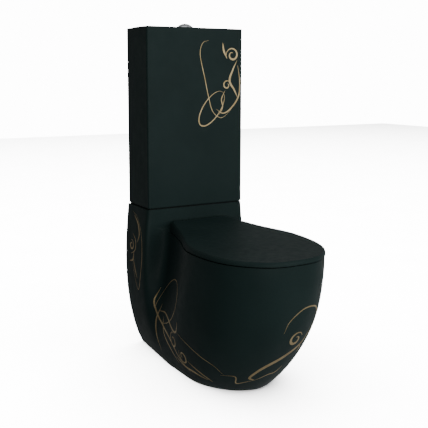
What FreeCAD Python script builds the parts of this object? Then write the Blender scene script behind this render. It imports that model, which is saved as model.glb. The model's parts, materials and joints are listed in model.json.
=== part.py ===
# Close coupled toilet: an egg shaped back-to-wall pan with a slim tall cistern bolted on its rear block,
# a pillow shaped soft-close lid over a seat ring, and the flush valve, fill valve, button and fixings inside.
#
# Row frame: +X to the right of someone facing the toilet, +Y to the wall behind it, +Z up, in millimetres.
# The origin is on the floor, in the middle of the object's footprint box.
import FreeCAD
import Part
import math
import os
import re
import Sketcher
from FreeCAD import Placement, Rotation, Vector

doc = FreeCAD.newDocument("toilet")

# ---------------------------------------------------------------- driving dimensions

SIZES = {
    # whole object
    "wall_y": 354,  # the wall face, half the depth behind the origin
    "rim_z": 407,  # the pan's rim, where the seat rests
    "joint_z": 481,  # top edge of the pan's rear block
    "skin_top_z": 483,  # where the pan's skin would end if the block's edge weren't trimmed
    "ceramic": 11,  # wall thickness of the pan's skin
    "deck": 14,  # thickness of the pan's horizontal decks
    # pan, feet to block
    "front_y": -354,
    "block_y": 198.5,  # front face of the rear block, flush with the cistern
    "neck_half": 108,  # half width of the rim at its neck, beside the hinges
    "belly_half": 183,  # half width of the rim at its widest
    "shelf_z": 455,  # recessed shelf that carries the cistern
    "shelf_half": 146,
    # bowl and waterways
    "bowl_half": 133,
    "bowl_front_y": -302,
    "bowl_back_y": 60,
    "bowl_low_z": 262,  # the bowl's parts meet at these two heights
    "bowl_high_z": 322,
    "trap_bore": 26,
    "trap_wall": 8,
    "trap_z": 122,
    "weir_z": 226,
    "outlet_z": 180,
    "outlet_r": 51,
    "outlet_bore": 42,
    "outlet_end_y": 318,
    "flush_bore": 19,
    "flush_wall": 7,
    "flush_z": 378,
    # cistern
    "tank_width": 340,
    "tank_depth": 154,
    "tank_z": 484.5,
    "tank_top_z": 1045,
    "tank_wall": 12,
    "tank_round": 6,
    "tank_y": 276.5,  # middle of the cistern, front to back
    "ledge": 5.6,  # width of the ledge that carries the inset cover
    "ledge_z": 1033,
    "cover_gap": 0.8,
    "cover_crown": 1.5,
    "crown_r": 1650,
    # flush valve on the cistern's middle line
    "valve_hole": 31,
    "valve_tail": 29,
    "valve_flange": 42,
    "tube_r": 14,
    "tube_top_z": 898,
    "lever_z": 915,
    "lever_x": 22,
    "cheek_y": 17,  # inner face of the tower's cheeks, from its middle
    "cheek": 3,
    # fill valve to the right of it
    "fill_x": 107,
    "inlet_r": 10.45,
    "inlet_end_z": 428,
    "float_z": 760,
    "arm_z": 905,
    # fixings between cistern and pan
    "bolt_x": 75,
    "bolt_r": 4,
    # seat and lid
    "axis_y": 180,
    "axis_z": 425.5,
    "cove_r": 18.5,
    "barrel_r": 16.5,
    "lid_z": 410.5,
    "lid_wall": 3.2,
    "lid_sweep": 6170,  # radius of the lid's long top curve
    "lid_slope": 4.56,  # its slope in degrees where it leaves the barrel
    "lid_neck": 107,  # half length of the barrel
    "hinge_x": 77.5,
    "pin_r": 5,
    "run": 0.05,  # radial clearance of a running fit
    "seat_z": 409.5,
    "seat_gap": 1.5,
    "stud_y": 172,
    # button
    "button_r": 24.6,
    "button_top_z": 1061,
    "dome_r": 35.26,
    "bezel_r": 28.5,
    "sleeve_r": 26,
    "rod_x": 10,
    "foot_reach": 34,
    # floor fixing
    "lug_x": 112,
    "lug_y": 240,
}

# The pan's skin at seven levels, floor to block: height, front, half width at the wall, half width of
# the belly, and how much of the foot's plain outline it has instead of the rim's waisted one.
LEVELS = [
    ("floor", 0, -163, 126, 141, 1.0),
    ("toe", 30, -198, 143, 158, 0.97),
    ("shin", 110, -262, 168, 181, 0.80),
    ("middle", 220, -318, 182, 191, 0.42),
    ("shoulder", 320, -344, 184, 187, 0.12),
    ("rim", 400, -354, 180, 183, 0.0),
    ("top", 483, -346, 171.5, 183, 0.0),
]
for level, *numbers in LEVELS:
    for what, number in zip(("height", "front", "wall", "belly", "foot"), numbers):
        SIZES[f"{level}_{what}"] = number

sheet = doc.addObject("Spreadsheet::Sheet", "Sizes")
for row, (alias, number) in enumerate(SIZES.items(), start=1):
    sheet.set(f"A{row}", alias)
    sheet.set(f"B{row}", str(number))
    sheet.setAlias(f"B{row}", alias)
doc.recompute()

WORD = re.compile(r"[a-z][a-z0-9_]*")


def size(alias):
    """A driving dimension, as a number."""
    return float(sheet.get(alias))


def bind(thing, **sizes):
    """Binds properties to the sheet: Placement__Base__x="tank_y - 5" follows the cell tank_y."""
    for name, text in sizes.items():
        named = WORD.sub(lambda m: "Sizes." + m[0] if m[0] in SIZES else m[0], str(text))
        thing.setExpression(name.replace("__", "."), named)


# ---------------------------------------------------------------- bound primitives and booleans

TURNS = {
    "z": Rotation(),
    "x": Rotation(Vector(0, 1, 0), 90),
    "y": Rotation(Vector(1, 0, 0), -90),
}


def put(thing, x, y, z, axis="z"):
    """Places a primitive, with its own Z turned to axis."""
    thing.Placement = Placement(Vector(), TURNS[axis])
    bind(thing, Placement__Base__x=x, Placement__Base__y=y, Placement__Base__z=z)
    return thing


def box(name, x, y, z, length, width, height):
    """A block whose low corner is x, y, z."""
    thing = doc.addObject("Part::Box", name)
    bind(thing, Length=length, Width=width, Height=height)
    return put(thing, x, y, z)


def rod(name, radius, height, x, y, z, axis="z"):
    """A cylinder that starts at x, y, z and runs along axis."""
    thing = doc.addObject("Part::Cylinder", name)
    bind(thing, Radius=radius, Height=height)
    return put(thing, x, y, z, axis)


def hexagon(name, radius, height, x, y, z):
    """A hexagonal prism standing on x, y, z."""
    thing = doc.addObject("Part::Prism", name)
    thing.Polygon = 6
    bind(thing, Circumradius=radius, Height=height)
    return put(thing, x, y, z)


def cut(name, base, *tools):
    thing = doc.addObject("Part::Cut", name)
    thing.Base = base
    thing.Tool = tools[0] if len(tools) == 1 else fuse(name + "_tools", *tools)
    return thing


def fuse(name, *pieces):
    thing = doc.addObject("Part::MultiFuse", name)
    thing.Shapes = list(pieces)
    return thing


def common(name, base, tool):
    thing = doc.addObject("Part::Common", name)
    thing.Base = base
    thing.Tool = tool
    return thing


def ring(name, outer, inner, height, x, y, z, axis="z"):
    """A plain washer or sleeve."""
    solid = rod(name + "_solid", outer, height, x, y, z, axis)
    hole = rod(name + "_hole", inner, height, x, y, z, axis)
    return cut(name, solid, hole)


def group(name, *pieces):
    """Identical loose pieces that share one node."""
    thing = doc.addObject("Part::Compound", name)
    thing.Links = list(pieces)
    return thing


def rounded(name, base, radius, chosen):
    """Part::Fillet on the edges of base for which chosen(edge) is true."""
    doc.recompute()
    thing = doc.addObject("Part::Fillet", name)
    thing.Base = base
    edges = enumerate(base.Shape.Edges, start=1)
    thing.Edges = [(k, radius, radius) for k, edge in edges if chosen(edge)]
    return thing


def upright(edge):
    """True for a straight vertical edge."""
    line = edge.Curve
    return isinstance(line, Part.Line) and abs(line.Direction.z) > 0.99


def flat_at(height):
    """A test for edges that lie level at a height."""
    return lambda edge: all(abs(v.Point.z - height) < 0.01 for v in edge.Vertexes)


def given(name, shape):
    """A Part::Feature for a shape worked out from the sheet's sizes with Part's own functions."""
    thing = doc.addObject("Part::Feature", name)
    thing.Shape = shape
    return thing


# ---------------------------------------------------------------- PartDesign bodies


def origin_plane(body, role):
    return next(f for f in body.Origin.OriginFeatures if f.Role == role)


def sketch_on(body, name, role):
    sketch = body.newObject("Sketcher::SketchObject", name)
    sketch.AttachmentSupport = [(origin_plane(body, role), "")]
    sketch.MapMode = "FlatFace"
    return sketch


def pin_point(sketch, line, axis, text):
    """Holds the start of a sketch line at a bound distance from the origin along X or Y."""
    if text == "0":
        other_axis = -2 if axis == "X" else -1
        sketch.addConstraint(Sketcher.Constraint("PointOnObject", line, 1, other_axis))
        return
    seed = getattr(sketch.Geometry[line].StartPoint, axis.lower())
    rule = Sketcher.Constraint(f"Distance{axis}", -1, 1, line, 1, seed)
    number = sketch.addConstraint(rule)
    bind(sketch, **{f"Constraints[{number}]": text})


def polygon(sketch, points):
    """A closed outline whose corners are bound to the sheet."""
    count = len(points)
    seeds = [
        Vector(50 + 40 * math.cos(2 * math.pi * k / count), 50 + 40 * math.sin(2 * math.pi * k / count), 0)
        for k in range(count)
    ]
    for k in range(count):
        sketch.addGeometry(Part.LineSegment(seeds[k], seeds[(k + 1) % count]))
    for k in range(count):
        sketch.addConstraint(Sketcher.Constraint("Coincident", k, 2, (k + 1) % count, 1))
    for k, (u, v) in enumerate(points):
        pin_point(sketch, k, "X", u)
        pin_point(sketch, k, "Y", v)
    return sketch


def turned(name, points, x, y, z):
    """A PartDesign body turned about its own vertical axis from an outline of radius and height."""
    body = doc.addObject("PartDesign::Body", name)
    sketch = polygon(sketch_on(body, name + "_profile", "XZ_Plane"), points)
    turn = body.newObject("PartDesign::Revolution", name + "_turn")
    turn.Profile = sketch
    turn.ReferenceAxis = (sketch, ["V_Axis"])
    turn.Angle = 360
    return put(body, x, y, z)


# ---------------------------------------------------------------- freeform skins


def clamped(count):
    """Knots and multiplicities of a clamped cubic B-spline with count poles."""
    spans = count - 3
    return [k / spans for k in range(spans + 1)], [4] + [1] * (spans - 1) + [4]


def skin(rows):
    """Cubic B-spline surface over a net of poles, one row per level."""
    poles = [list(column) for column in zip(*rows)]
    across, across_mults = clamped(len(poles))
    along, along_mults = clamped(len(rows))
    surface = Part.BSplineSurface()
    surface.buildFromPolesMultsKnots(poles, across_mults, along_mults, across, along, False, False, 3, 3)
    return surface


def closed_skin(rows):
    """A solid with a skin round it and flat ends at its lowest and highest rows.
    An outline that doesn't close on itself is closed by a flat face between its ends."""
    surface = skin(rows)
    faces = [surface.toShape()]
    open_outline = (rows[0][0] - rows[0][-1]).Length > 1e-6
    for share in (0, 1):
        edges = [surface.vIso(share).toShape()]
        if open_outline:
            edges.append(Part.LineSegment(edges[0].Vertexes[-1].Point, edges[0].Vertexes[0].Point).toShape())
        faces.append(Part.Face(Part.Wire(edges)))
    if open_outline:
        sides = [surface.uIso(share).toShape() for share in (0, 1)]
        ends = [face.Edges[-1] for face in faces[1:]]
        faces.append(Part.Face(Part.Wire(Part.__sortEdges__([sides[0], ends[0], sides[1], ends[1]]))))
    shell = Part.makeShell(faces)
    shell.sewShape()
    solid = Part.makeSolid(shell)
    if solid.Volume < 0:
        solid.reverse()
    return solid


def mirrored(half):
    """A whole outline from its right half, which runs from the back to the middle of the front."""
    left = [Vector(-p.x, p.y, p.z) for p in half[:-1]]
    return left + list(reversed(half))


def inset(poles, distance):
    """The outline moved inwards in plan, each pole along its neighbours' normal."""
    moved = []
    for k, p in enumerate(poles):
        before = poles[max(k - 1, 0)]
        after = poles[min(k + 1, len(poles) - 1)]
        along = after - before
        normal = Vector(along.y, -along.x, 0).normalize()
        moved.append(p - normal * distance)
    return moved


def pipe(points, bend, radius):
    """A round bar along straight runs in the middle plane, joined by arcs. points are (y, z)."""
    corners = [Vector(0, y, z) for y, z in points]
    edges = []
    start = corners[0]
    for before, corner, after in zip(corners, corners[1:], corners[2:]):
        into = (corner - before).normalize()
        out = (after - corner).normalize()
        turn = into.getAngle(out)
        reach = bend * math.tan(turn / 2)
        a = corner - into * reach
        b = corner + out * reach
        towards = (out - into).normalize()
        middle = corner + towards * (bend / math.cos(turn / 2) - bend)
        edges.append(Part.LineSegment(start, a).toShape())
        edges.append(Part.Arc(a, middle, b).toShape())
        start = b
    edges.append(Part.LineSegment(start, corners[-1]).toShape())
    path = Part.Wire(edges)
    circle = Part.Wire(Part.makeCircle(radius, corners[0], corners[1] - corners[0]))
    return path.makePipeShell([circle], True, False)


# ---------------------------------------------------------------- pan


def rim_outline(wall, belly, front, z):
    """Right half of the pan's outline near its rim: block, waist beside the hinges, then the oval bowl."""
    neck = size("neck_half")
    block = size("block_y")
    half = [
        (wall, size("wall_y")),
        (wall + 1, 285),
        (wall + 1, 225),
        (wall, block + 0.5),
        (wall - 24, block + 0.5),
        (neck - 1, block - 3),
        (neck, 160),
        (neck + 14, 105),
        (belly - 38, 20),
        (belly + 1, -60),
        (belly + 3, -150),
        (0.93 * belly, front + 100),
        (0.592 * belly, front + 28),
        (0.31 * belly, front),
        (0, front),
    ]
    return [Vector(x, y, z) for x, y in half]


def foot_outline(wall, belly, front, z):
    """Right half of the pan's outline at the floor: nearly parallel sides and a blunt round front."""
    half = [
        (wall, size("wall_y")),
        (wall + 4, 300),
        (wall + 7, 250),
        (wall + 9, 215),
        (wall + 11, 190),
        (belly - 2, 160),
        (belly, 130),
        (belly, 95),
        (belly - 2, 60),
        (belly - 3, 10),
        (0.96 * belly, -30),
        (0.90 * belly, front + 100),
        (0.56 * belly, front + 26),
        (0.14 * belly, front),
        (0, front),
    ]
    return [Vector(x, y, z) for x, y in half]


def level_outline(level, thickness=0.0):
    """The whole outline of the pan's skin at a level, or of its inside if thickness is given."""
    z, front, wall, belly, foot = (
        size(f"{level}_{what}") for what in ("height", "front", "wall", "belly", "foot")
    )
    rim = rim_outline(wall, belly, front, z)
    plain = foot_outline(wall, belly, front, z)
    half = [a * (1 - foot) + b * foot for a, b in zip(rim, plain)]
    whole = mirrored(half)
    return inset(whole, thickness) if thickness else whole


def deck_tool(back, down):
    """What is cut away above the rim and in front of the block, with a cove under the lid's barrel.
    back and down move it, so that the same tool leaves a wall when it shapes the inside."""
    y0 = size("front_y") - 60
    y1 = size("axis_y") + back
    y2 = size("block_y") + back
    z0 = size("rim_z") - down
    z1 = size("axis_z") - down
    z2 = size("skin_top_z") + 40
    cove = size("cove_r")
    middle = Vector(0, y1 + cove * math.sin(math.pi / 4), z1 - cove * math.cos(math.pi / 4))
    corners = [Vector(0, y0, z0), Vector(0, y1, z0), Vector(0, y2, z1), Vector(0, y2, z2), Vector(0, y0, z2)]
    edges = [
        Part.LineSegment(corners[0], corners[1]).toShape(),
        Part.Arc(corners[1], middle, corners[2]).toShape(),
        Part.LineSegment(corners[2], corners[3]).toShape(),
        Part.LineSegment(corners[3], corners[4]).toShape(),
        Part.LineSegment(corners[4], corners[0]).toShape(),
    ]
    reach = 2 * size("belly_half")
    face = Part.Face(Part.Wire(edges))
    face.translate(Vector(-reach, 0, 0))
    return face.extrude(Vector(2 * reach, 0, 0))


def pan_skin():
    """The ceramic skin: outer form less an inside that is open to the floor and the wall."""
    names = [level for level, *_ in LEVELS]
    outer = closed_skin([level_outline(level) for level in names])
    outer = outer.cut(deck_tool(0, 0))
    block_top = Part.makeBox(800, 800, 100, Vector(-400, -400, size("joint_z")))
    outer = outer.cut(block_top)

    wall = size("ceramic")
    rows = [level_outline(level, wall) for level in names]
    rows[0] = [p - Vector(0, 0, 5) for p in rows[0]]
    for row in rows:
        for end in (0, -1):
            row[end] = Vector(row[end].x, size("wall_y") + 20, row[end].z)
    inside = closed_skin(rows)
    inside = inside.cut(deck_tool(wall + 2, size("deck")))
    above = Part.makeBox(800, 800, 100, Vector(-400, -400, size("shelf_z") - size("deck")))
    inside = inside.cut(above)
    return outer, inside


def bowl_form(grow):
    """The bowl's form, widened by grow: an oval well that narrows to the sump."""
    half = size("bowl_half")
    front = size("bowl_front_y")
    back = size("bowl_back_y")
    rim = size("rim_z")
    # height, half width, front, back
    wells = [
        (rim + 8, half, front, back),
        (rim - 22, half, front, back),
        (rim - 80, half - 2, front + 6, back + 3),
        (rim - 150, half - 34, front + 70, back + 6),
        (rim - 215, half - 76, front + 176, back + 2),
        (rim - 262, half - 86, front + 218, back - 8),
        (rim - 312, half - 92, front + 236, back - 14),
    ]
    rows = []
    for z, a, y0, y1 in wells:
        a += grow
        y0 -= grow
        y1 += grow
        middle = (y0 + y1) / 2
        long = (y1 - y0) / 2
        # a rounded oval: the corner poles sit near the corners of its box
        quarter = [(0, long), (0.45 * a, long), (0.94 * a, 0.72 * long), (a, 0.25 * long)]
        right = quarter + [(x, -y) for x, y in reversed(quarter)]
        half_row = [Vector(x, middle + y, z) for x, y in right]
        left = [Vector(-p.x, p.y, p.z) for p in reversed(half_row[1:-1])]
        rows.append(half_row + left + [half_row[0]])
    rows[-1] = [p - Vector(0, 0, grow) for p in rows[-1]]
    return closed_skin(list(reversed(rows)))


def make_pan():
    """One ceramic casting: skin, bowl, flush passage, trap and outlet spigot, and its fixing holes."""
    outer, inside = pan_skin()
    bowl_wall = 10
    middle_y = size("tank_y")
    trap_path = [
        (10, size("trap_z")),
        (86, size("trap_z")),
        (128, size("weir_z")),
        (192, size("weir_z")),
        (226, size("outlet_z")),
        (280, size("outlet_z")),
    ]
    flush_path = [(middle_y, size("shelf_z") - 4), (middle_y, size("flush_z")), (40, size("flush_z"))]
    trap_r = size("trap_bore")
    flush_r = size("flush_bore")

    along_y = Vector(0, 1, 0)
    spigot_from = Vector(0, size("outlet_end_y") - 56, size("outlet_z"))
    spigot = Part.makeCylinder(size("outlet_r"), 56, spigot_from, along_y)
    cup = Part.makeCylinder(44, size("shelf_z") - 412, Vector(0, middle_y, 412))
    spigot_bore = Part.makeCylinder(
        size("outlet_bore"), 46, spigot_from + Vector(0, 12, 0), along_y
    )
    trap = pipe(trap_path, 36, trap_r + size("trap_wall"))
    flush = pipe(flush_path, 45, flush_r + size("flush_wall"))
    ends = [(middle_y, size("shelf_z") + 1), *flush_path[1:]]
    bowl_solid = bowl_form(bowl_wall).common(outer)

    pan = outer.cut(inside)
    lugs = [
        Part.makeBox(70, 40, 25, Vector(side * 130 - 35, size("lug_y") - 20, 0)).common(outer)
        for side in (-1, 1)
    ]
    pan = pan.fuse([bowl_solid, trap.common(outer), flush.common(outer), spigot, cup, *lugs])
    pan = pan.cut([bowl_form(0), pipe(trap_path, 36, trap_r), pipe(ends, 45, flush_r), spigot_bore])

    # recessed shelf for the cistern, open upwards
    shelf = Part.makeBox(
        2 * size("shelf_half"),
        2 * 62,
        60,
        Vector(-size("shelf_half"), middle_y - 62, size("shelf_z")),
    )
    shelf = shelf.makeFillet(20, [e for e in shelf.Edges if upright(e)])
    pan = pan.cut(shelf)

    down = Vector(0, 0, -1)
    top = size("joint_z") + 2
    holes = [Part.makeCylinder(34, 28, Vector(0, middle_y, size("shelf_z") + 2), down)]
    for side in (-1, 1):
        holes.append(Part.makeCylinder(7, 80, Vector(side * size("bolt_x"), middle_y, top), down))
        seat_hole = Vector(side * size("hinge_x"), size("stud_y"), size("rim_z") + 3)
        holes.append(Part.makeCylinder(7.5, 26, seat_hole, down))
        holes.append(Part.makeCylinder(5, 60, Vector(side * size("lug_x"), size("lug_y"), -5)))
    holes.append(Part.makeCylinder(17, 80, Vector(size("fill_x"), middle_y, top), down))
    return pan.cut(holes).removeSplitter()


def block_between(low, high):
    """A box from its low corner to its high corner."""
    span = [b - a for a, b in zip(low, high)]
    return Part.makeBox(*span, Vector(*low))


def split_pan(whole):
    """The casting as parts that meet on flat faces, so that each is simple to collide with."""
    under_deck = size("rim_z") - size("deck") - 0.5
    behind_bowl = size("bowl_back_y") + 16
    shelf_under = size("shelf_z") - size("deck")
    lug_y = size("lug_y")
    far = 450
    lug_zone = [block_between((x, lug_y - 20, -1), (x + 110, lug_y + 20, 25)) for x in (-200, 90)]
    inlet_zone = block_between((-46, 226, under_deck), (46, 322, shelf_under))
    below = block_between((-far, -far, -10), (far, far, under_deck))
    rear = block_between((-far, behind_bowl, -10), (far, far, far))
    lower = block_between((-far, -far, -10), (far, far, size("bowl_low_z")))
    middle = block_between((-far, -far, size("bowl_low_z")), (far, far, size("bowl_high_z")))

    hanging = [solid for solid in whole.common(below).Solids if solid.BoundBox.ZMin > 40]
    hanging = Part.makeCompound(hanging)
    bowl = hanging.cut(rear)
    ways = hanging.common(rear).Solids
    between = (size("outlet_z") + size("flush_z")) / 2
    parts = {
        "pan": whole.cut([hanging, inlet_zone, *lug_zone]).Solids,
        "pan_lugs": [solid for zone in lug_zone for solid in whole.common(zone).Solids],
        "pan_bowl_upper": bowl.cut([lower, middle]).Solids,
        "pan_bowl_middle": bowl.common(middle).Solids,
        "pan_bowl_lower": bowl.common(lower).Solids,
        "pan_trapway": [way for way in ways if way.CenterOfMass.z < between],
        "pan_flushway": [way for way in ways if way.CenterOfMass.z > between],
        "pan_flush_inlet": whole.common(inlet_zone).Solids,
    }
    return {
        label: solids[0] if len(solids) == 1 else Part.makeCompound(solids)
        for label, solids in parts.items()
    }


# ---------------------------------------------------------------- nodes

NODES = []


def node(label, thing):
    """Marks an object of the document as a finished piece."""
    thing.Label = label
    NODES.append(thing)
    return thing


for label, shape in split_pan(make_pan()).items():
    node(label, given(label + "_form", shape))

FLOOR = "tank_z + tank_wall"  # inside floor of the cistern
SIDES = (("right", ""), ("left", "-"))


def box_round(name, x, y, z, length, width, height):
    """A block centred on x, y and standing on z."""
    return box(name, f"{x} - ({length}) / 2", f"{y} - ({width}) / 2", z, length, width, height)


# cistern
outside = box_round("tank_outside", 0, "tank_y", "tank_z", "tank_width", "tank_depth", "tank_top_z - tank_z")
outside = rounded("tank_edges", outside, size("tank_round"), upright)
soft_ends = (size("tank_z"), size("tank_top_z"))
outside = rounded(
    "tank_rims", outside, 2.5, lambda edge: any(flat_at(height)(edge) for height in soft_ends)
)
well = box_round(
    "tank_well", 0, "tank_y", FLOOR, "tank_width - 2 * tank_wall", "tank_depth - 2 * tank_wall", 600
)
well = rounded("tank_well_edges", well, 10, upright)
recess = box_round(
    "tank_recess", 0, "tank_y", "ledge_z", "tank_width - 2 * ledge", "tank_depth - 2 * ledge", 40
)
recess = rounded("tank_recess_edges", recess, 4, upright)
tank_holes = [
    rod("tank_valve_hole", "valve_hole", 60, 0, "tank_y", "tank_z - 20"),
    rod("tank_fill_hole", 11.5, 60, "fill_x", "tank_y", "tank_z - 20"),
]
for side, sign in SIDES:
    tank_holes.append(rod(f"tank_bolt_hole_{side}", 5.5, 60, f"{sign}bolt_x", "tank_y", "tank_z - 20"))
node("cistern", cut("tank", outside, well, recess, *tank_holes))

# inset cover, slightly crowned from front to back
slab = box_round(
    "cover_slab",
    0,
    "tank_y",
    "ledge_z",
    "tank_width - 2 * ledge - 2 * cover_gap",
    "tank_depth - 2 * ledge - 2 * cover_gap",
    20,
)
slab = rounded("cover_edges", slab, 3.5, upright)
crown = rod(
    "cover_crown_form", "crown_r", "tank_width", "-tank_width / 2", "tank_y",
    "tank_top_z + cover_crown - crown_r", "x",
)
cover = common("cover_top", slab, crown)
lip = box_round(
    "cover_lip",
    0,
    "tank_y",
    "ledge_z - 7",
    "tank_width - 2 * tank_wall - 6",
    "tank_depth - 2 * tank_wall - 6",
    7,
)
lip_hollow = box_round(
    "cover_lip_hollow", 0, "tank_y", "ledge_z - 8", "tank_width - 2 * tank_wall - 22",
    "tank_depth - 2 * tank_wall - 22", 8,
)
cover_hole = rod("cover_hole", "sleeve_r + 0.4", 60, 0, "tank_y", "ledge_z - 20")
cover = fuse("cover_with_lip", cover, cut("cover_lip_ring", lip, lip_hollow))
node("cistern_cover", cut("cover", cover, cover_hole))

# joint between cistern and pan
pad = box_round("pad_outside", 0, "tank_y", "joint_z", 332, 147, "tank_z - joint_z")
pad_hole = box_round("pad_opening", 0, "tank_y", "joint_z - 1", 298, 128, 10)
node("joint_pad", cut("pad", rounded("pad_edges", pad, 6, upright), pad_hole))
node(
    "inlet_doughnut",
    turned(
        "doughnut",
        [(31, 0), (57, 0), (57, 29), (41.5, 29), (41.5, 14), (31, 14)],
        0,
        "tank_y",
        "shelf_z + 0.3",
    ),
)
bolts, cones, washers, wings = [], [], [], []
for side, sign in SIDES:
    x = f"{sign}bolt_x"
    shank = rod(f"bolt_shank_{side}", "bolt_r", 84, x, "tank_y", "shelf_z - 32")
    head = rod(f"bolt_head_{side}", 7.5, 5, x, "tank_y", "shelf_z + 52")
    slot = box_round(f"bolt_slot_{side}", x, "tank_y", "shelf_z + 55", 16, 1.6, 4)
    bolts.append(cut(f"bolt_{side}", fuse(f"bolt_blank_{side}", shank, head), slot))
    cone = doc.addObject("Part::Cone", f"cone_form_{side}")
    bind(cone, Radius1=12, Radius2=8, Height=10)
    put(cone, x, "tank_y", FLOOR)
    bore = rod(f"cone_bore_{side}", "bolt_r", 30, x, "tank_y", "tank_z")
    cones.append(cut(f"cone_{side}", cone, bore))
    under_shelf = "shelf_z - deck - 2.2"
    washers.append(ring(f"coupling_washer_{side}", 12, "bolt_r + 0.4", 2, x, "tank_y", under_shelf))
    hub = rod(f"wing_hub_{side}", 7, 9, x, "tank_y", "shelf_z - deck - 11.4")
    wing = box_round(f"wing_blades_{side}", x, "tank_y", "shelf_z - deck - 13.4", 30, 3, 10)
    thread = rod(f"wing_thread_{side}", "bolt_r", 30, x, "tank_y", "shelf_z - deck - 25")
    wings.append(cut(f"wing_{side}", fuse(f"wing_blank_{side}", hub, wing), thread))
node("coupling_bolts", group("bolts", *bolts))
node("coupling_cones", group("cones", *cones))
node("coupling_washers", group("washers", *washers))
node("coupling_wing_nuts", group("wings", *wings))

# flush valve: base through the cistern's floor, cage above it
node(
    "flush_base_seal",
    turned("base_seal", [(29.2, 0), (41, 0), (41, 3), (29.2, 3)], 0, "tank_y", FLOOR),
)
node(
    "flush_valve_base",
    turned(
        "valve_base",
        [(24, 0), ("valve_tail", 0), ("valve_tail", 49), ("valve_flange", 49), ("valve_flange", 53), (27, 53),
         (27, 58), (24, 58)],
        0,
        "tank_y",
        f"{FLOOR} - 46",
    ),
)
nut_blank = hexagon("back_nut_blank", 40, 11, 0, "tank_y", "tank_z - 11.2")
nut_bore = rod("back_nut_bore", "valve_tail", 30, 0, "tank_y", "tank_z - 20")
node("flush_back_nut", cut("back_nut", nut_blank, nut_bore))

BASE_TOP = f"{FLOOR} + 7"
cage = [ring("cage_foot", 41, 31, 6, 0, "tank_y", BASE_TOP)]
for side, sign in SIDES:
    y = f"tank_y {sign or '+'} (cheek_y + cheek / 2)"
    cage.append(box_round(f"cheek_{side}", 0, y, 540, 24, "cheek", 390))
    leg_y = f"tank_y {sign or '+'} 35.5"
    cage.append(box_round(f"leg_{side}", 0, leg_y, BASE_TOP, 24, 4, f"546 - ({BASE_TOP})"))
    shoulder_y = f"tank_y {sign or '+'} 27"
    cage.append(box_round(f"shoulder_{side}", 0, shoulder_y, 540, 24, 20, 6))
    cage.append(box_round(f"cheek_head_{side}", 0, y, "lever_z - 12", 68, "cheek", 27))
for name, z in (("low", 620), ("high", 860)):
    guide = box_round(f"guide_{name}_plate", 0, "tank_y", z, 34, "2 * cheek_y + cheek", 5)
    guide_hole = rod(f"guide_{name}_hole", "tube_r + 0.6", 20, 0, "tank_y", z - 5)
    cage.append(cut(f"guide_{name}", guide, guide_hole))
cage.append(box_round("cage_tie", 0, "tank_y", 928.5, 10, "2 * cheek_y + cheek", 4))
cage_holes = [
    rod(f"cage_pin_hole_{side}", 2, 60, f"{sign}lever_x", "tank_y - 30", "lever_z", "y")
    for side, sign in SIDES
]
cage_holes.append(rod("cage_half_rod_hole", 2.8, 40, -16.8, "tank_y + 9", 845))
node("flush_cage", cut("cage", fuse("cage_frame", *cage), *cage_holes))
node(
    "lever_pins",
    group(
        "flush_pins",
        *[
            rod(f"flush_pin_{side}", 2, "2 * (cheek_y + cheek)", f"{sign}lever_x", "tank_y - cheek_y - cheek",
                "lever_z", "y")
            for side, sign in SIDES
        ],
    ),
)

# overflow tube with its lift tab, and the seal under it
tube_z = f"{FLOOR} + 16"
tube = ring("tube_wall", "tube_r", "tube_r - 2.5", f"tube_top_z - ({tube_z})", 0, "tank_y", tube_z)
foot = ring("tube_foot", 26, "tube_r - 2.5", 4, 0, "tank_y", tube_z)
bridge = box_round("tube_bridge", 0, "tank_y", "tube_top_z - 4", "2 * tube_r - 2", 5, 4)
stem = rod("tube_stem", 2.5, "lever_z + 6 - tube_top_z", 0, "tank_y", "tube_top_z - 2")
tab = box("tube_tab", -4, "tank_y - 5", "lever_z + 2.5", 20, 10, 3.5)
node("overflow_tube", fuse("tube", tube, foot, bridge, stem, tab))
node(
    "flush_seal",
    turned("seal", [(12, 0), (30, 0), (30, 3.6), (12, 3.6)], 0, "tank_y", f"{FLOOR} + 12.3"),
)

# half-flush float with its hook over the left lever
half_box = box("half_box", -40, "tank_y - 10", 700, 25, 21, 60)
half_box = rounded("half_box_edges", half_box, 3, upright)
half_rod = rod("half_rod", 1.5, 160, -16.8, "tank_y + 9", 759)
half_hook = box("half_hook", -18.3, "tank_y - 3", "lever_z + 2.5", 10.3, 13.5, 3)
node("half_flush_float", fuse("half_float", half_box, half_rod, half_hook))

# levers: pressed at their outer ends, lifting at their inner ends
for side, sign in SIDES:
    low = "9" if side == "right" else "-36"
    bar = box(f"lever_bar_{side}", low, "tank_y - 3", "lever_z - 2", 27, 6, 4)
    hub = rod(f"lever_hub_{side}", 4, 6, f"{sign}lever_x", "tank_y - 3", "lever_z", "y")
    bore = rod(f"lever_bore_{side}", "2 + run", 20, f"{sign}lever_x", "tank_y - 10", "lever_z", "y")
    lever = cut(f"lever_{side}", fuse(f"lever_blank_{side}", bar, hub), bore)
    node("full_flush_lever" if side == "right" else "half_flush_lever", lever)

# push button: two half domes in one bezel, each with a push rod
node(
    "button_bezel",
    turned(
        "bezel",
        [(25, 0), ("sleeve_r", 0), ("sleeve_r", 46.3), ("bezel_r", 46.3), ("bezel_r - 0.6", 48.2),
         ("sleeve_r", 50.4), (25, 50.4)],
        0,
        "tank_y",
        "tank_top_z + cover_crown - 46",
    ),
)
node(
    "button_nut",
    ring("sleeve_nut", 34, "sleeve_r", 7, 0, "tank_y", "ledge_z - 7.2"),
)

# bridge across the sleeve with a hole for each push rod, where the springs stand
bridge_disc = rod("bridge_disc", 25, 2, 0, "tank_y", "button_top_z - 51")
bridge_holes = [
    rod(f"bridge_hole_{side}", 3.2, 20, f"{sign}rod_x", "tank_y", "button_top_z - 60")
    for side, sign in SIDES
]
node("spring_bridge", cut("spring_seat", bridge_disc, *bridge_holes))


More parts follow.
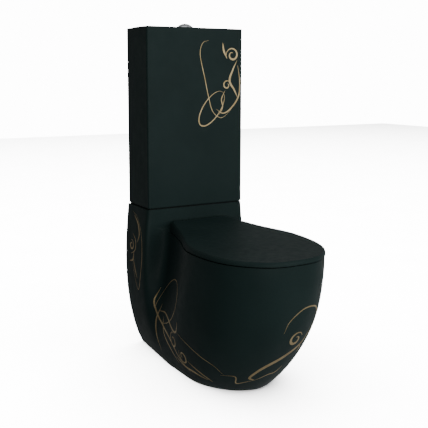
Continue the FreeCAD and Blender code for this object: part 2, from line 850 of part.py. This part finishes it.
def spring(name, x, y, z, radius, wire, pitch, height):
    """A coil spring that stands on x, y, z."""
    coil = doc.addObject("Part::Helix", name + "_path")
    bind(coil, Radius=radius, Pitch=pitch, Height=height)
    section = doc.addObject("Part::RegularPolygon", name + "_wire")
    section.Polygon = 4
    bind(section, Circumradius=wire)
    section.Placement = Placement(Vector(), Rotation(Vector(1, 0, 0), 90))
    bind(section, Placement__Base__x=radius)
    sweep = doc.addObject("Part::Sweep", name)
    sweep.Sections = [section]
    sweep.Spine = (coil, [])
    sweep.Solid = True
    sweep.Frenet = True
    return put(sweep, x, y, z)


DOME_FOOT = "button_top_z - 23"
for side, sign in SIDES:
    ball = doc.addObject("Part::Sphere", f"dome_ball_{side}")
    bind(ball, Radius="dome_r")
    put(ball, 0, "tank_y", "button_top_z - dome_r")
    dome = common(f"dome_{side}", rod(f"dome_wall_{side}", "button_r", 30, 0, "tank_y", DOME_FOOT), ball)
    hollow = rod(f"dome_hollow_{side}", "button_r - 1.8", 9, 0, "tank_y", f"{DOME_FOOT} - 1")
    start = "-60 + 0.4" if side == "right" else "-0.4"
    other = box(f"dome_cut_{side}", start, "tank_y - 30", "tank_top_z - 30", 60, 60, 60)
    half = cut(f"button_{side}", dome, hollow, other)
    node("button_full" if side == "right" else "button_half", half)
    coil = spring(f"spring_{side}", f"{sign}rod_x", "tank_y", "button_top_z - 48.2", 4.5, 0.75, 4, 32.4)
    node("button_spring_full" if side == "right" else "button_spring_half", coil)
    top = rod(f"rod_top_{side}", 2.5, 97, f"{sign}rod_x", "tank_y", f"{DOME_FOOT} - 89")
    low = "rod_x - 2.5" if side == "right" else "-foot_reach - 2.5"
    reach = box(f"rod_reach_{side}", low, "tank_y - 2.5", f"{DOME_FOOT} - 89", "foot_reach - rod_x + 5", 5, 5)
    tip = rod(f"rod_tip_{side}", 1.5, 32, f"{sign}foot_reach", "tank_y", "lever_z + 2.5")
    node("push_rod_full" if side == "right" else "push_rod_half", fuse(f"push_rod_{side}", top, reach, tip))

# fill valve: threaded shank through the floor, riser, head, and a float that lifts the closing arm
node(
    "fill_shank_seal",
    ring("shank_seal", 18, "inlet_r + 0.2", 3, "fill_x", "tank_y", FLOOR),
)
node(
    "fill_valve_body",
    turned(
        "fill_body",
        [(7.5, 0), ("inlet_r", 0), ("inlet_r", 38), (9.6, 38), (9.6, 40), ("inlet_r", 40), ("inlet_r", 71.5),
         (19, 71.5), (19, 76.5), (9, 76.5), (9, 432), (18, 432),
         (18, 466), (0, 466), (0, 440), (6, 440), (6, 60), (7.5, 60)],
        "fill_x",
        "tank_y",
        "inlet_end_z",
    ),
)
ears = []
for side, sign in SIDES:
    y = f"tank_y {sign or '+'} 6"
    ears.append(box_round(f"ear_{side}", "fill_x - 12", y, "inlet_end_z + 466", 9, 3, 15))
ear_hole = rod("ear_hole", 2, 40, "fill_x - 12", "tank_y - 20", "arm_z", "y")
node("fill_valve_ears", cut("ears", group("ear_pair", *ears), ear_hole))
node("fill_arm_pin", rod("arm_pin", 2, 15, "fill_x - 12", "tank_y - 7.5", "arm_z", "y"))
arm_bar = box("arm_bar", "fill_x - 16", "tank_y - 3", "arm_z - 2", 40, 6, 4)
arm_hub = rod("arm_hub", 4, 6, "fill_x - 12", "tank_y - 3", "arm_z", "y")
arm_bore = rod("arm_bore", "2 + run", 20, "fill_x - 12", "tank_y - 10", "arm_z", "y")
node("fill_valve_arm", cut("arm", fuse("arm_blank", arm_bar, arm_hub), arm_bore))
cup_float = ring("float_wall", 28, 10.5, 70, "fill_x", "tank_y", "float_z")
link = rod("float_link", 1.5, "arm_z - 2.5 - float_z - 68", "fill_x + 22", "tank_y", "float_z + 68")
node("fill_valve_float", fuse("float_and_link", cup_float, link))
fill_nut = hexagon("fill_nut_blank", 17, 11, "fill_x", "tank_y", "tank_z - 11.2")
fill_bore = rod("fill_nut_bore", "inlet_r", 30, "fill_x", "tank_y", "tank_z - 20")
node("fill_valve_nut", cut("fill_nut", fill_nut, fill_bore))
node("inlet_filter", ring("filter", 7.4, 5.5, 22, "fill_x", "tank_y", "inlet_end_z + 1"))


# ---------------------------------------------------------------- lid and seat


def lid_outline(back):
    """Right half of the lid's outline, from its barrel to the middle of the front."""
    neck = size("lid_neck")
    belly = size("belly_half")
    front = size("front_y")
    half = [
        (neck - 60, back),
        (neck - 60, 206),
        (neck - 28, 201),
        (neck - 4, 187),
        (neck + 3, 160),
        (neck + 16, 105),
        (belly - 38, 20),
        (belly + 1, -60),
        (belly + 3, -150),
        (0.93 * belly, front + 100),
        (0.592 * belly, front + 28),
        (0.31 * belly, front),
        (0, front),
    ]
    return [Vector(x, y, 0) for x, y in half]


def lid_top(at_y, drop=0.0):
    """Height of the lid's top surface on its middle line, or of a surface drop below it."""
    slope = math.radians(size("lid_slope"))
    sweep = size("lid_sweep") + drop
    radius = size("barrel_r") - drop
    start_y = size("axis_y") - radius * math.sin(slope)
    start_z = size("axis_z") + radius * math.cos(slope)
    centre_y = start_y - sweep * math.sin(slope)
    centre_z = start_z + sweep * math.cos(slope)
    reach = min(at_y, start_y) - centre_y
    return centre_z - math.sqrt(sweep**2 - reach**2)


def lid_block(distance, back):
    """The lid's outline, moved in by distance and cut off at back, with its top edge drawn in.
    It rises past the lid's top surface, which trims it."""
    # how far each row is drawn in, and how far below the top surface it lies
    edge = [(0, 10), (0.2, 6.5), (1.8, 2.6), (5.5, 0.2), (10, -2.2)]
    outline = mirrored(lid_outline(back + 20))
    rows = [[Vector(p.x, p.y, 350) for p in inset(outline, distance)]]
    for drawn_in, below in edge:
        row = []
        for p in inset(outline, distance + drawn_in):
            # the edge is rounder towards the barrel's ends
            near_barrel = min(1, max(0, (p.y - 110) / 70))
            x = abs(p.x) - drawn_in * 0.6 * near_barrel
            drop = below * (1 + 0.5 * near_barrel)
            row.append(Vector(math.copysign(x, p.x), p.y, lid_top(p.y, distance) - drop))
        rows.append(row)
    rows.append([Vector(p.x, p.y, 480) for p in rows[-1]])
    rest = Part.makeBox(600, 400, 400, Vector(-300, back, 200))
    return closed_skin(rows).cut(rest)


def lid_side(drop, bottom, barrel):
    """Side view of the lid, drop below its outer surface, swept across it."""
    y, z = size("axis_y"), size("axis_z")
    slope = math.radians(size("lid_slope"))
    radius = size("barrel_r") - drop
    start = Vector(0, y - radius * math.sin(slope), z + radius * math.cos(slope))
    end_y = size("front_y") - 20
    middle_y = (start.y + end_y) / 2
    end = Vector(0, end_y, lid_top(end_y, drop))
    top = Part.Arc(start, Vector(0, middle_y, lid_top(middle_y, drop)), end).toShape()
    corner = Vector(0, end_y, bottom)
    if barrel:
        low = Vector(0, y - math.sqrt(radius**2 - (z - bottom) ** 2), bottom)
        back = Part.Arc(low, Vector(0, y + radius, z), start).toShape()
    else:
        low = Vector(0, start.y, bottom)
        back = Part.LineSegment(low, start).toShape()
    edges = [
        top,
        Part.LineSegment(end, corner).toShape(),
        Part.LineSegment(corner, low).toShape(),
        back,
    ]
    face = Part.Face(Part.Wire(edges))
    face.translate(Vector(-300, 0, 0))
    return face.extrude(Vector(600, 0, 0))


def across(radius, x0, x1):
    """A bar along the hinge axis."""
    return Part.makeCylinder(radius, x1 - x0, Vector(x0, size("axis_y"), size("axis_z")), Vector(1, 0, 0))


# stretches along the hinge axis on the right side: lug of the lid, eye of the seat, post, lug of the lid
LUG_IN = (50.5, 56.5)
EYE = (57.5, 68.5)
POST = (69.5, 85.5)
LUG_OUT = (86.5, 93)


def both(stretch):
    """A stretch along the axis on the right, and its mirror on the left."""
    low, high = stretch
    return [(low, high), (-high, -low)]


def make_lid():
    """Hollow lid with a barrel along its rear edge that hides the hinges."""
    y, z = size("axis_y"), size("axis_z")
    wall = size("lid_wall")
    bore = size("barrel_r") - wall
    outer = lid_block(0, y + 40).common(lid_side(0, size("lid_z"), True))
    hollow = lid_block(wall, y).common(lid_side(wall, size("lid_z") - 8, False))
    reach = LUG_OUT[0] + 1
    lid = outer.cut([hollow, across(bore, -reach, reach)])
    open_front = block_between((-reach, y - 50, z - 40), (reach, y, z))
    open_under = block_between((-reach, y - 1, z - 40), (reach, y + 20, z - 7))
    lid = lid.cut([open_front, open_under])
    spans = both(LUG_IN) + both(LUG_OUT)
    lugs = [across(bore + 0.5, *span).common(outer) for span in spans]
    lid = lid.fuse(lugs)
    slots = [
        block_between((x0 - 1, y - 15, z - 40), (x1 + 1, y + 30, z + 12.2)) for x0, x1 in both(POST)
    ]
    pins = across(size("pin_r") + size("run"), -200, 200)
    return lid.cut([*slots, pins]).removeSplitter()


def make_seat():
    """Ring seat inside the lid, with an eye at each hinge."""
    y, z = size("axis_y"), size("axis_z")
    inside = size("lid_wall") + size("seat_gap")
    ring_solid = lid_block(inside, 150).common(lid_side(size("lid_wall") + 1, size("seat_z"), False))
    poles = [(0, 46), (55, 46), (108, 10), (114, -70), (112, -170), (70, -262), (0, -262)]
    opening = mirrored([Vector(a, b, 0) for a, b in poles])
    knots, mults = clamped(len(opening))
    curve = Part.BSplineCurve()
    curve.buildFromPolesMultsKnots(opening, mults, knots, False, 3)
    hole = Part.Face(Part.Wire(curve.toShape())).extrude(Vector(0, 0, 600))
    seat = ring_solid.cut(hole)
    for span in both(EYE):
        arm = block_between((span[0], 140, z - 10), (span[1], y, z + 6))
        seat = seat.fuse([arm, across(10, *span)])
    return seat.cut(across(size("pin_r") + size("run"), -200, 200)).removeSplitter()


node("lid", given("lid_shell", make_lid()))
node("seat_ring", given("seat", make_seat()))

# hinge posts, pins and their fixings through the deck
posts, pins, studs, bushes, nuts = [], [], [], [], []
for side, sign in SIDES:
    x = f"{sign}hinge_x"
    base = box_round(f"post_base_{side}", x, "axis_y - 11", "rim_z", 26, 22, 1.6)
    stem_height = "axis_z - rim_z - 1.6"
    stem = box_round(f"post_block_{side}", x, "axis_y - 1.5", "rim_z + 1.6", 16, 15, stem_height)
    eye = rod(f"post_eye_{side}", 9, 16, f"{x} - 8", "axis_y", "axis_z", "x")
    eye_bore = rod(f"post_bore_{side}", "pin_r", 40, f"{x} - 20", "axis_y", "axis_z", "x")
    posts.append(cut(f"post_{side}", fuse(f"post_blank_{side}", base, stem, eye), eye_bore))
    start = "50.5" if side == "right" else "-93"
    pins.append(rod(f"pin_{side}", "pin_r", 42.5, start, "axis_y", "axis_z", "x"))
    studs.append(rod(f"stud_{side}", 4, 42, x, "stud_y", "rim_z - 42"))
    neck = ring(f"bush_neck_{side}", 7.4, 4, 14, x, "stud_y", "rim_z - deck")
    collar = ring(f"bush_collar_{side}", 12, 4, 4, x, "stud_y", "rim_z - deck - 4")
    bushes.append(fuse(f"bush_{side}", neck, collar))
    blank = hexagon(f"nut_blank_{side}", 9, 7, x, "stud_y", "rim_z - deck - 11.2")
    bore = rod(f"nut_bore_{side}", 4, 30, x, "stud_y", "rim_z - deck - 20")
    nuts.append(cut(f"nut_{side}", blank, bore))
node("hinge_posts", group("post_pair", *posts))
node("soft_close_pins", group("pin_pair", *pins))
node("seat_studs", group("stud_pair", *studs))
node("seat_bushes", group("bush_pair", *bushes))
node("seat_nuts", group("nut_pair", *nuts))

# rubber buffers under the seat and under the lid
BUFFERS = [(150, -95), (112, -268)]
under_seat = []
for k, (x, y) in enumerate(BUFFERS):
    for side, sign in SIDES:
        spot = f"{sign}{x}"
        under_seat.append(rod(f"seat_buffer_{k}_{side}", 6, "seat_z - rim_z - 0.4", spot, y, "rim_z + 0.4"))
node("seat_buffers", group("seat_buffer_set", *under_seat))

# ---------------------------------------------------------------- check and write

doc.recompute()
for thing in doc.Objects:
    if "Invalid" in thing.State or "Error" in thing.State:
        raise RuntimeError(f"{thing.Name} ({thing.Label}) failed: {thing.State}")
os.makedirs("parts", exist_ok=True)
for thing in NODES:
    shape = thing.Shape
    if shape.isNull() or not shape.isValid():
        raise RuntimeError(f"{thing.Label} has no valid shape")
    shape.exportStep(f"parts/{thing.Label}.step")
    print(f"{thing.Label:22} {shape.Volume / 1000:9.2f} cm3  {len(shape.Solids)} solid(s)")
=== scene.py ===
import json
import math

import bmesh
import bpy
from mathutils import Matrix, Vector
from mathutils.bvhtree import BVHTree


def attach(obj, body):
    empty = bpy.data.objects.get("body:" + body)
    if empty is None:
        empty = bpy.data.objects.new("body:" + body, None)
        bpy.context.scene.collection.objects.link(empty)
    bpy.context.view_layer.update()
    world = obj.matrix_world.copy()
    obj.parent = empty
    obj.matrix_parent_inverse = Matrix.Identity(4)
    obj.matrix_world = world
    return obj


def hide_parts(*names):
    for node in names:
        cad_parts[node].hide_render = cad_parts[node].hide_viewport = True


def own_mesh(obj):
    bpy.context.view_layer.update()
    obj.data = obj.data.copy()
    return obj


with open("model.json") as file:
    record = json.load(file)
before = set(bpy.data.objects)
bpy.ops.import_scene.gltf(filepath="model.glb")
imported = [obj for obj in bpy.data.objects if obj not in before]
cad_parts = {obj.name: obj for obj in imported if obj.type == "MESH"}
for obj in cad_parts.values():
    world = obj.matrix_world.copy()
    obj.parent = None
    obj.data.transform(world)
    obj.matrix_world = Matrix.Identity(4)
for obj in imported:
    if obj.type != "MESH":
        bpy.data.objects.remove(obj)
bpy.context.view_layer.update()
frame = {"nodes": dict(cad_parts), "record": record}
MM = 0.001
WORLD_LEFT = 0.10  # strength that lights the object from its left
WORLD_RIGHT = 0.55  # and from its right
WORLD_SEEN = 14.0  # strength where the camera sees it
FLOOR_WATTS = 24000
FLOOR_HALF = 9.0  # half the floor's width in metres
CAMERA_PLACE = (-1.1084, -1.8330, 0.8896)
CAMERA_DOWN = 8.138  # degrees below level
CAMERA_TURN = -29.282  # degrees about the vertical
CAMERA_LENS = 61.28  # mm, on a sensor 36 mm wide
CAMERA_SENSOR = 36
CAMERA_SHIFT = (0.0209, -0.075)
SPECKLE_SCALE = 900  # mineral flecks in the glaze
SPECKLE_LIGHTER = 1.4  # how much lighter a fleck is than the glaze's light tone
SPECKLE_SHARE = 0.12  # how strongly the flecks show


# ---------------------------------------------------------------- materials


class Shader:
    """A Principled material with a few short cuts for its procedural nodes."""

    def __init__(self, name):
        self.material = bpy.data.materials.new(name)
        self.material.use_nodes = True
        self.tree = self.material.node_tree
        self.principled = self.tree.nodes["Principled BSDF"]
        self.place = self.node("ShaderNodeTexCoord").outputs["Object"]

    def node(self, kind, **settings):
        made = self.tree.nodes.new(kind)
        for name, value in settings.items():
            setattr(made, name, value)
        return made

    def link(self, out, into):
        self.tree.links.new(out, into)

    def set(self, **values):
        for name, value in values.items():
            self.principled.inputs[name.replace("_", " ")].default_value = value

    def noise(self, scale, detail=3.0, roughness=0.5, place=None):
        made = self.node("ShaderNodeTexNoise")
        made.inputs["Scale"].default_value = scale
        made.inputs["Detail"].default_value = detail
        made.inputs["Roughness"].default_value = roughness
        self.link(place or self.place, made.inputs["Vector"])
        return made.outputs["Fac"]

    def stretched(self, x, y, z):
        """Object coordinates with a scale of their own along each axis."""
        made = self.node("ShaderNodeMapping")
        made.inputs["Scale"].default_value = (x, y, z)
        self.link(self.place, made.inputs["Vector"])
        return made.outputs["Vector"]

    def spread(self, value, low, high, from_low=0.3, from_high=0.7):
        """Maps a noise value onto low to high."""
        made = self.node("ShaderNodeMapRange")
        made.inputs["From Min"].default_value = from_low
        made.inputs["From Max"].default_value = from_high
        made.inputs["To Min"].default_value = low
        made.inputs["To Max"].default_value = high
        self.link(value, made.inputs["Value"])
        return made.outputs["Result"]

    def colours(self, value, first, second, low=0.35, high=0.65):
        ramp = self.node("ShaderNodeValToRGB")
        ramp.color_ramp.elements[0].position = low
        ramp.color_ramp.elements[0].color = (*first, 1)
        ramp.color_ramp.elements[1].position = high
        ramp.color_ramp.elements[1].color = (*second, 1)
        self.link(value, ramp.inputs["Fac"])
        return ramp.outputs["Color"]

    def mix(self, first, second, amount):
        made = self.node("ShaderNodeMix", data_type="RGBA")
        made.inputs["Factor"].default_value = amount
        self.link(first, made.inputs["A"])
        self.link(second, made.inputs["B"])
        return made.outputs["Result"]

    def colour(self, out):
        self.link(out, self.principled.inputs["Base Color"])

    def roughness(self, out):
        self.link(out, self.principled.inputs["Roughness"])

    def bump(self, *layers):
        """Bump from pairs of height and depth in metres."""
        normal = None
        for height, depth in layers:
            made = self.node("ShaderNodeBump")
            made.inputs["Distance"].default_value = depth
            self.link(height, made.inputs["Height"])
            if normal:
                self.link(normal, made.inputs["Normal"])
            normal = made.outputs["Normal"]
        self.link(normal, self.principled.inputs["Normal"])


def glaze(name, dark, light):
    """Matt glaze: slow tone drift, fine mineral speckle and a faint orange peel."""
    made = Shader(name)
    drift = made.colours(made.noise(5.5, 4), dark, light, 0.38, 0.64)
    speck = made.node("ShaderNodeTexVoronoi")
    speck.inputs["Scale"].default_value = SPECKLE_SCALE
    made.link(made.place, speck.inputs["Vector"])
    lighter = [channel * SPECKLE_LIGHTER for channel in light]
    fleck = made.colours(speck.outputs["Distance"], lighter, dark, 0.06, 0.2)
    made.colour(made.mix(drift, fleck, SPECKLE_SHARE))
    made.roughness(made.spread(made.noise(38, 5), 0.46, 0.56))
    made.bump((made.noise(120, 3), 0.00005), (made.noise(1500, 2), 0.00002))
    made.set(IOR=1.5, Specular_IOR_Level=0.09)
    return made.material


def moulded(name, dark, light, low, high, specular):
    """Moulded plastic: even colour, fine spark-eroded texture."""
    made = Shader(name)
    made.colour(made.colours(made.noise(9, 3), dark, light, 0.36, 0.66))
    made.roughness(made.spread(made.noise(60, 4), low, high))
    made.bump((made.noise(900, 3), 0.00003))
    made.set(IOR=1.48, Specular_IOR_Level=specular)
    return made.material


def metal(name, dark, light, low, high, grain=(1, 1, 1), depth=0.00001):
    """Bare or plated metal with a faint lay in its finish."""
    made = Shader(name)
    made.set(Metallic=1.0)
    place = made.stretched(*grain)
    made.colour(made.colours(made.noise(40, 4, place=place), dark, light, 0.3, 0.7))
    made.roughness(made.spread(made.noise(220, 5, place=place), low, high))
    made.bump((made.noise(800, 3, place=place), depth))
    return made.material


def rubber(name, dark, light):
    """Dull rubber with a little unevenness."""
    made = Shader(name)
    made.colour(made.colours(made.noise(60, 4), dark, light))
    made.roughness(made.spread(made.noise(300, 4), 0.62, 0.78))
    made.set(Specular_IOR_Level=0.1)
    made.bump((made.noise(1200, 3), 0.00005))
    return made.material


GLAZE = glaze("glaze_green_black", (0.0098, 0.0206, 0.0196), (0.0124, 0.0246, 0.0235))
SEAT = moulded("seat_satin", (0.0100, 0.0208, 0.0198), (0.0122, 0.0240, 0.0229), 0.52, 0.62, 0.09)
CHROME = metal("chrome", (0.62, 0.64, 0.66), (0.72, 0.74, 0.76), 0.06, 0.12)
STEEL = metal("steel", (0.40, 0.41, 0.42), (0.52, 0.53, 0.54), 0.26, 0.40, (1, 1, 14), 0.00003)
BRASS = metal("brass", (0.55, 0.40, 0.16), (0.68, 0.52, 0.24), 0.26, 0.40)
RUBBER = rubber("rubber_black", (0.0030, 0.0042, 0.0042), (0.0060, 0.0078, 0.0078))
WHITE = moulded("valve_plastic", (0.62, 0.64, 0.64), (0.70, 0.71, 0.70), 0.34, 0.44, 0.5)
GOLD = metal("gold_lustre", (0.34, 0.25, 0.12), (0.52, 0.42, 0.24), 0.38, 0.55)

FINISH = {
    "glaze": GLAZE,
    "seat_plastic": SEAT,
    "chrome": CHROME,
    "rubber": RUBBER,
    "white_plastic": WHITE,
    "steel": STEEL,
    "brass": BRASS,
}
for row in frame["record"]["subparts"]:
    mesh = frame["nodes"][row["node"]].data
    mesh.materials.clear()
    mesh.materials.append(FINISH[row["material_slot"]])

# ---------------------------------------------------------------- return springs


def return_spring(node):
    """A button's spring as a piece of its own that stands for its CAD node."""
    cad = frame["nodes"][node]
    piece = bpy.data.objects.new(node + "_coil", cad.data.copy())
    piece.matrix_world = cad.matrix_world.copy()
    bpy.context.scene.collection.objects.link(piece)
    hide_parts(node)
    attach(piece, "root")
    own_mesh(piece)


return_spring("button_spring_full")
return_spring("button_spring_half")

# ---------------------------------------------------------------- gold flourishes

LIFT = 0.15  # mm, how far the lustre stands proud of the glaze
SINK = 0.10  # mm, how far its underside lies below the glaze
STEPS = 9  # samples between two points of a stroke
TIP = 0.14  # a stroke's width at its ends, as a share of its greatest width
STACK = 0.02  # mm, how much prouder each stroke stands than the one before it
RAY_START = -1000  # mm, well outside the object
CURL_POINTS = 10  # points in each whole circle of a curl
OVAL_POINTS = 14  # points round an oval


def surface_of(*nodes):
    """A tree to cast rays at the CAD nodes."""
    corners, faces = [], []
    for name in nodes:
        thing = frame["nodes"][name]
        start = len(corners)
        corners += [thing.matrix_world @ corner.co for corner in thing.data.vertices]
        faces += [[start + index for index in face.vertices] for face in thing.data.polygons]
    return BVHTree.FromPolygons(corners, faces)


def front(across, up):
    """A ray that meets the object's front at this place, in mm."""
    return Vector((across, RAY_START, up)) * MM, Vector((0, 1, 0))


def left_side(across, up):
    """A ray that meets the object's left side at this place, in mm."""
    return Vector((RAY_START, across, up)) * MM, Vector((1, 0, 0))


def smooth(points):
    """Points along a Catmull-Rom curve through the given ones."""
    ends = [2 * points[0] - points[1], *points, 2 * points[-1] - points[-2]]
    line = []
    for a, b, c, d in zip(ends, ends[1:], ends[2:], ends[3:]):
        for step in range(STEPS):
            t = step / STEPS
            line.append(
                b + (c - a) * (t / 2) + (2 * a - 5 * b + 4 * c - d) * (t * t / 2)
                + (3 * b - a - 3 * c + d) * (t**3 / 2)
            )
    return [*line, points[-1]]


def stroke(form, tree, aim, points, width, proud):
    """Adds one pen stroke to form: a closed ribbon, pointed at both ends, on the surface."""
    line = smooth([Vector(point) for point in points])
    rings = []
    for index, place in enumerate(line):
        ahead = line[min(index + 1, len(line) - 1)] - line[max(index - 1, 0)]
        side = Vector((-ahead.y, ahead.x)).normalized()
        swell = math.sin(math.pi * index / (len(line) - 1))
        half = width * (TIP + (1 - TIP) * swell) / 2
        ring = []
        for way, rise in ((1, LIFT + proud), (-1, LIFT + proud), (-1, -SINK), (1, -SINK)):
            start, into = aim(*(place + side * half * way))
            found, normal, _, _ = tree.ray_cast(start, into)
            ring.append(found + normal * rise * MM)
        rings.append([form.verts.new(corner) for corner in ring])
    for ring, after in zip(rings, rings[1:]):
        for k in range(4):
            form.faces.new((ring[k], ring[k - 1], after[k - 1], after[k]))
    form.faces.new(rings[0])
    form.faces.new(reversed(rings[-1]))


def spiral(centre, start_radius, end_radius, start_turn, turns):
    """Points of a curl that winds inwards; turns are counted in whole circles."""
    count = max(6, round(abs(turns) * CURL_POINTS))
    points = []
    for k in range(count + 1):
        t = k / count
        radius = start_radius + (end_radius - start_radius) * t
        angle = 2 * math.pi * (start_turn + turns * t)
        points.append(
            (centre[0] + radius * math.cos(angle), centre[1] + radius * math.sin(angle))
        )
    return points


def oval(centre, long, short, lean):
    """Points once round an oval that leans by some degrees."""
    tilt = math.radians(lean)
    points = []
    for k in range(OVAL_POINTS + 1):
        angle = 2 * math.pi * k / OVAL_POINTS
        a, b = long * math.cos(angle), short * math.sin(angle)
        points.append(
            (centre[0] + a * math.cos(tilt) - b * math.sin(tilt),
             centre[1] + a * math.sin(tilt) + b * math.cos(tilt))
        )
    return points


# Each stroke: its points across and up the surface in mm, then its greatest width.
CISTERN_STROKES = [
    ([(44, 1006), (22, 996), (14, 960), (30, 890),
      (44, 830), (60, 782), (92, 762), (128, 786)], 2.6),
    (oval((56, 792), 66, 30, 52), 4.0),
    ([(96, 1000), (100, 975), (112, 950)], 6.5),
    (spiral((132, 962), 24, 7, 0.55, -1.35), 6.0),
    ([(150, 945), (134, 915), (122, 880), (140, 850), (152, 826)], 7.0),
    ([(152, 930), (160, 880), (156, 830), (128, 792), (98, 776), (72, 790)], 5.0),
    (spiral((112, 866), 16, 5, 0.0, 1.2), 4.5),
    ([(106, 850), (92, 822), (96, 796), (84, 772)], 4.0),
]
SIDE_STROKES = [
    ([(312, 462), (272, 446), (236, 400), (224, 330),
      (236, 262), (256, 214), (278, 244), (296, 300)], 2.6),
    ([(296, 452), (264, 428), (250, 396), (262, 368)], 7.0),
    ([(300, 392), (276, 372), (278, 340), (312, 322)], 4.0),
    (spiral((306, 352), 18, 5, 0.2, 1.2), 5.5),
    ([(286, 336), (294, 306), (322, 296)], 6.0),
    ([(290, 308), (276, 276), (262, 250)], 4.5),
]
FOOT_STROKES = [
    (oval((92, 214), 104, 56, -38), 3.6),
    ([(176, 236), (186, 190), (166, 150), (120, 128), (60, 104), (6, 66), (-40, 38)], 6.5),
    ([(150, 190), (172, 140), (170, 84), (150, 44)], 6.0),
    ([(160, 166), (110, 172), (40, 146), (4, 150), (-12, 186)], 6.5),
    ([(128, 158), (116, 110), (66, 74), (20, 44)], 5.0),
    (spiral((36, 112), 27, 8, 0.30, -1.25), 5.0),
    (spiral((-20, 80), 24, 7, 0.10, -1.25), 5.0),
    ([(30, 62), (-20, 48), (-66, 44), (-108, 34)], 7.0),
    ([(-44, 74), (-78, 60), (-104, 46), (-118, 30)], 5.0),
    ([(-4, 152), (-60, 136), (-118, 116), (-158, 98), (-170, 70)], 2.4),
]
FRONT_STROKES = [
    ([(-14, 214), (-4, 250), (38, 282), (88, 276), (112, 242), (102, 204), (78, 172)], 4.6),
    ([(92, 196), (70, 162), (16, 130), (-34, 100), (-56, 64), (-38, 50)], 11.0),
    (spiral((36, 186), 24, 7, 0.05, 1.25), 8.0),
    ([(-38, 50), (-8, 68), (14, 72), (32, 92)], 4.0),
    ([(68, 158), (74, 144), (68, 132)], 5.0),
    ([(-122, 66), (-92, 66), (-78, 38), (-58, 44), (-38, 52)], 2.8),
]


def flourish(name, nodes, aim, strokes):
    """A group of strokes as one piece that stays with the fixed ceramic."""
    tree = surface_of(*nodes)
    form = bmesh.new()
    for index, (points, width) in enumerate(strokes):
        stroke(form, tree, aim, points, width, STACK * index)
    bmesh.ops.recalc_face_normals(form, faces=form.faces)
    mesh = bpy.data.meshes.new(name)
    form.to_mesh(mesh)
    form.free()
    mesh.materials.append(GOLD)
    piece = bpy.data.objects.new(name, mesh)
    bpy.context.scene.collection.objects.link(piece)
    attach(piece, "root")


flourish("gold_on_cistern", ["cistern"], front, CISTERN_STROKES)
flourish("gold_on_side", ["pan"], left_side, SIDE_STROKES)
flourish("gold_on_foot", ["pan"], left_side, FOOT_STROKES)
flourish("gold_on_front", ["pan"], front, FRONT_STROKES)

# ---------------------------------------------------------------- floor, light and camera

floor_mesh = bpy.data.meshes.new("floor")
form = bmesh.new()
bmesh.ops.create_grid(form, x_segments=1, y_segments=1, size=FLOOR_HALF)
form.to_mesh(floor_mesh)
form.free()
floor = bpy.data.objects.new("floor", floor_mesh)
bpy.context.scene.collection.objects.link(floor)
floor.visible_diffuse = False
floor.visible_glossy = False
paper = Shader("studio_paper")
paper.colour(paper.colours(paper.noise(3, 3), (0.90, 0.90, 0.90), (0.93, 0.93, 0.93)))
paper.set(Roughness=1.0, Specular_IOR_Level=0.0)
floor.data.materials.append(paper.material)

# The world lights the object softly, more from its right than its left, and looks white where
# the camera sees it past the floor.
world = bpy.data.worlds.new("studio")
bpy.context.scene.world = world
world.use_nodes = True
sky = world.node_tree
seen = sky.nodes.new("ShaderNodeLightPath")
level = sky.nodes.new("ShaderNodeMapRange")
level.inputs["To Max"].default_value = WORLD_SEEN
sky.links.new(seen.outputs["Is Camera Ray"], level.inputs["Value"])
place = sky.nodes.new("ShaderNodeTexCoord")
split = sky.nodes.new("ShaderNodeSeparateXYZ")
sky.links.new(place.outputs["Generated"], split.inputs["Vector"])
shade = sky.nodes.new("ShaderNodeMapRange")
shade.inputs["From Min"].default_value = -1.0
shade.inputs["To Min"].default_value = WORLD_LEFT
shade.inputs["To Max"].default_value = WORLD_RIGHT
sky.links.new(split.outputs["X"], shade.inputs["Value"])
sky.links.new(shade.outputs["Result"], level.inputs["To Min"])
sky.nodes["Background"].inputs["Color"].default_value = (1, 1, 1, 1)
sky.links.new(level.outputs["Result"], sky.nodes["Background"].inputs["Strength"])


def soft_box(name, place, aim, width, height, watts):
    """A rectangular area light that points at aim."""
    light = bpy.data.lights.new(name, "AREA")
    light.shape = "RECTANGLE"
    light.size = width
    light.size_y = height
    light.energy = watts
    made = bpy.data.objects.new(name, light)
    bpy.context.scene.collection.objects.link(made)
    made.location = place
    made.rotation_euler = (Vector(aim) - Vector(place)).to_track_quat("-Z", "Y").to_euler()
    return made


soft_box("key", (1.2, -2.8, 1.7), (0, 0, 0.45), 2.2, 2.6, 40)
soft_box("low_fill", (-1.0, -2.9, 0.55), (0, 0, 0.3), 2.4, 1.2, 34)
soft_box("top", (-0.6, -0.6, 3.2), (0, 0, 0.4), 2.4, 2.4, 12)

# A broad lamp for the floor alone, so that it is white while the object stays dark.
floor_lamp = soft_box("floor_lamp", (0, 0, 8), (0, 0, 0), 16, 16, FLOOR_WATTS)
lit = bpy.data.collections.new("lit_floor")
lit.objects.link(floor)
floor_lamp.light_linking.receiver_collection = lit

camera = bpy.data.objects.new("camera", bpy.data.cameras.new("camera"))
bpy.context.scene.collection.objects.link(camera)
bpy.context.scene.camera = camera
camera.data.sensor_width = CAMERA_SENSOR
camera.data.lens = CAMERA_LENS
camera.data.shift_x, camera.data.shift_y = CAMERA_SHIFT
camera.location = CAMERA_PLACE
camera.rotation_euler = (math.radians(90 - CAMERA_DOWN), 0, math.radians(CAMERA_TURN))
